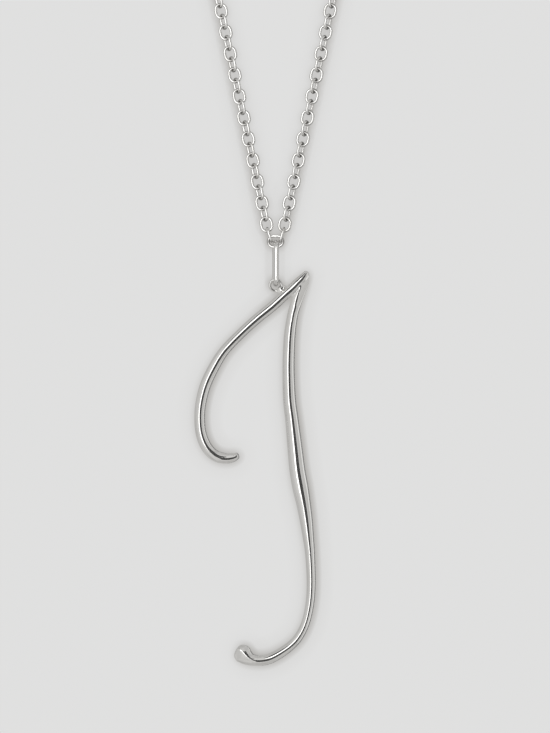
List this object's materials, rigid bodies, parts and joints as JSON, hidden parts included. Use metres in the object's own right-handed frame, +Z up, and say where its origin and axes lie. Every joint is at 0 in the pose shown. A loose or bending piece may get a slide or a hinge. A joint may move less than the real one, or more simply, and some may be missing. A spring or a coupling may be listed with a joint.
{
  "type": "initial pendant necklace",
  "caption": "Tall script J initial in polished silver, swinging from an oval bail on a closed oval cable chain with a plain ring clasp.",
  "frame": {"origin": "top of the chain's loop, on the centre line of the clasp, where the nape or a hook carries the necklace", "axes": "+Z up, against the hang; +X to the viewer's right; +Y away from the viewer, through the loop"},
  "size_m": [0.0744, 0.0044, 0.2917],
  "materials": {
    "letter_silver": "mirror-polished cast silver",
    "bail_silver": "polished round silver wire",
    "chain_silver": "polished fine silver wire links",
    "clasp_silver": "polished silver"
  },
  "bodies": {
    "chain": {"chain_left": "chain_silver", "chain_right": "chain_silver", "clasp": "clasp_silver"},
    "bail": {"bail": "bail_silver"},
    "initial": {"initial": "letter_silver"}
  },
  "joints": [
    {"name": "bail_swing", "type": "hinge", "parent": "chain", "child": "bail", "pos_m": [0, 0, -0.20467], "axis": [0.9962, 0.0872, 0], "range_deg": [-70, 70]},
    {"name": "letter_swing", "type": "hinge", "parent": "bail", "child": "initial", "pos_m": [0, 0, -0.21213], "axis": [0, 1, 0], "range_deg": [-45, 45]}
  ]
}
